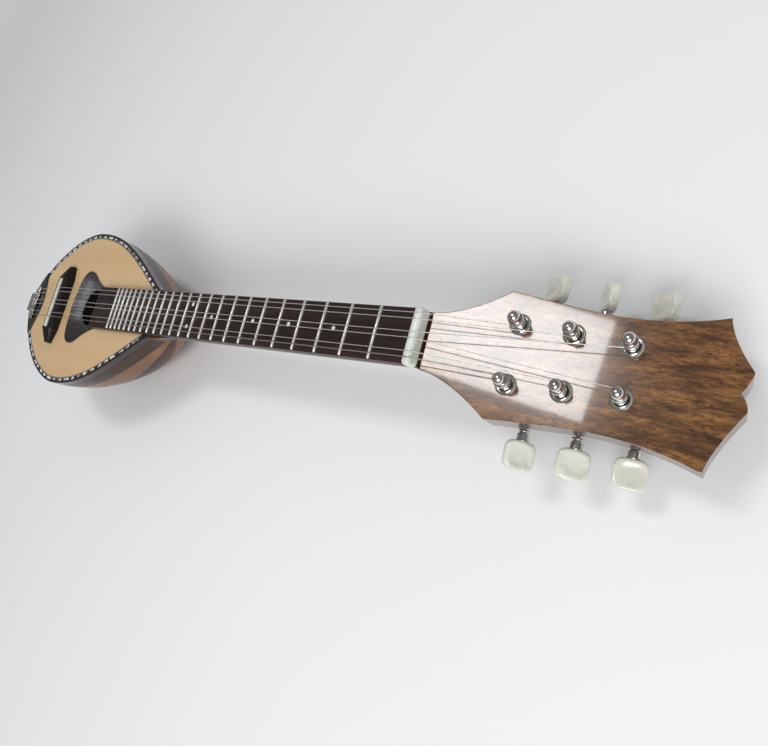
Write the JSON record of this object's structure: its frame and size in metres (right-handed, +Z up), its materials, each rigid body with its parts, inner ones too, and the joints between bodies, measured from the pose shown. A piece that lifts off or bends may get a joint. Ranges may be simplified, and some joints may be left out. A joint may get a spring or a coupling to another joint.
{
  "type": "long-necked bowl-back lute",
  "caption": "Small long-necked lute with a ribbed bowl back, a fretted fingerboard, paired strings and worm-gear tuners on a carved headstock.",
  "frame": {"origin": "middle of the foot of the bounding box, under the bowl's lowest line", "axes": "+X along the neck towards the headstock, +Y across the instrument towards the first course, +Z up out of the soundboard"},
  "size_m": [0.5554, 0.122, 0.0746],
  "materials": {
    "spruce_top": "gloss",
    "dark_rosewood": "gloss",
    "light_rosewood": "gloss",
    "neck_wood": "satin",
    "inner_wood": "matte",
    "fingerboard_wood": "satin",
    "ebony": "satin",
    "bone": "satin",
    "pearl": "gloss",
    "pearl_buttons": "gloss",
    "black_guard": "gloss",
    "nickel": "polished",
    "string_steel": "bright"
  },
  "bodies": {
    "instrument": {"brace_front": "inner_wood", "brace_rear": "inner_wood", "bridge": "ebony", "bushing_1": "nickel", "bushing_2": "nickel", "bushing_3": "nickel", "bushing_4": "nickel", "bushing_5": "nickel", "bushing_6": "nickel", "edge_binding": "dark_rosewood", "fingerboard": "fingerboard_wood", "headstock_veneer": "light_rosewood", "neck": "neck_wood", "neck_block": "inner_wood", "nut": "bone", "pearl_purfling": "pearl", "pickguard": "black_guard", "rib_1": "light_rosewood", "rib_2": "dark_rosewood", "rib_3": "light_rosewood", "rib_4": "dark_rosewood", "rib_5": "light_rosewood", "rib_6": "dark_rosewood", "rib_7": "light_rosewood", "saddle": "bone", "skirt": "dark_rosewood", "soundboard": "spruce_top", "string_1": "string_steel", "string_2": "string_steel", "string_3": "string_steel", "string_4": "string_steel", "string_5": "string_steel", "string_6": "string_steel", "tail_block": "inner_wood", "tail_cap": "dark_rosewood", "tail_guard": "ebony", "tailpiece": "nickel", "tuner_plate_far": "nickel", "tuner_plate_near": "nickel"},
    "tuner_1_worm": {"worm_1": "nickel", "button_1": "pearl_buttons"},
    "tuner_1_post": {"post_1": "nickel"},
    "tuner_2_worm": {"worm_2": "nickel", "button_2": "pearl_buttons"},
    "tuner_2_post": {"post_2": "nickel"},
    "tuner_3_worm": {"worm_3": "nickel", "button_3": "pearl_buttons"},
    "tuner_3_post": {"post_3": "nickel"},
    "tuner_4_worm": {"worm_4": "nickel", "button_4": "pearl_buttons"},
    "tuner_4_post": {"post_4": "nickel"},
    "tuner_5_worm": {"worm_5": "nickel", "button_5": "pearl_buttons"},
    "tuner_5_post": {"post_5": "nickel"},
    "tuner_6_worm": {"worm_6": "nickel", "button_6": "pearl_buttons"},
    "tuner_6_post": {"post_6": "nickel"}
  },
  "joints": [
    {"name": "tuner_1_turn", "type": "hinge", "parent": "instrument", "child": "tuner_1_worm", "pos_m": [0.18953, 0.0135, 0.03167], "axis": [0, 1, 0], "continuous": true},
    {"name": "tuner_1_post_turn", "type": "hinge", "parent": "instrument", "child": "tuner_1_post", "pos_m": [0.18842, 0.0135, 0.0546], "axis": [0.2233, 0, 0.9748], "continuous": true},
    {"name": "tuner_2_turn", "type": "hinge", "parent": "instrument", "child": "tuner_2_worm", "pos_m": [0.21253, 0.0122, 0.0264], "axis": [0, 1, 0], "continuous": true},
    {"name": "tuner_2_post_turn", "type": "hinge", "parent": "instrument", "child": "tuner_2_post", "pos_m": [0.21142, 0.0122, 0.04933], "axis": [0.2233, 0, 0.9748], "continuous": true},
    {"name": "tuner_3_turn", "type": "hinge", "parent": "instrument", "child": "tuner_3_worm", "pos_m": [0.23554, 0.0109, 0.02114], "axis": [0, 1, 0], "continuous": true},
    {"name": "tuner_3_post_turn", "type": "hinge", "parent": "instrument", "child": "tuner_3_post", "pos_m": [0.23443, 0.0109, 0.04406], "axis": [0.2233, 0, 0.9748], "continuous": true},
    {"name": "tuner_4_turn", "type": "hinge", "parent": "instrument", "child": "tuner_4_worm", "pos_m": [0.18953, -0.0135, 0.03167], "axis": [0, 1, 0], "continuous": true},
    {"name": "tuner_4_post_turn", "type": "hinge", "parent": "instrument", "child": "tuner_4_post", "pos_m": [0.18842, -0.0135, 0.0546], "axis": [0.2233, 0, 0.9748], "continuous": true},
    {"name": "tuner_5_turn", "type": "hinge", "parent": "instrument", "child": "tuner_5_worm", "pos_m": [0.21253, -0.0122, 0.0264], "axis": [0, 1, 0], "continuous": true},
    {"name": "tuner_5_post_turn", "type": "hinge", "parent": "instrument", "child": "tuner_5_post", "pos_m": [0.21142, -0.0122, 0.04933], "axis": [0.2233, 0, 0.9748], "continuous": true},
    {"name": "tuner_6_turn", "type": "hinge", "parent": "instrument", "child": "tuner_6_worm", "pos_m": [0.23554, -0.0109, 0.02114], "axis": [0, 1, 0], "continuous": true},
    {"name": "tuner_6_post_turn", "type": "hinge", "parent": "instrument", "child": "tuner_6_post", "pos_m": [0.23443, -0.0109, 0.04406], "axis": [0.2233, 0, 0.9748], "continuous": true}
  ],
  "couplings": [
    {"joint": "tuner_1_post_turn", "follows": "tuner_1_turn", "ratio": -0.071429},
    {"joint": "tuner_2_post_turn", "follows": "tuner_2_turn", "ratio": -0.071429},
    {"joint": "tuner_3_post_turn", "follows": "tuner_3_turn", "ratio": -0.071429},
    {"joint": "tuner_4_post_turn", "follows": "tuner_4_turn", "ratio": -0.071429},
    {"joint": "tuner_5_post_turn", "follows": "tuner_5_turn", "ratio": -0.071429},
    {"joint": "tuner_6_post_turn", "follows": "tuner_6_turn", "ratio": -0.071429}
  ]
}
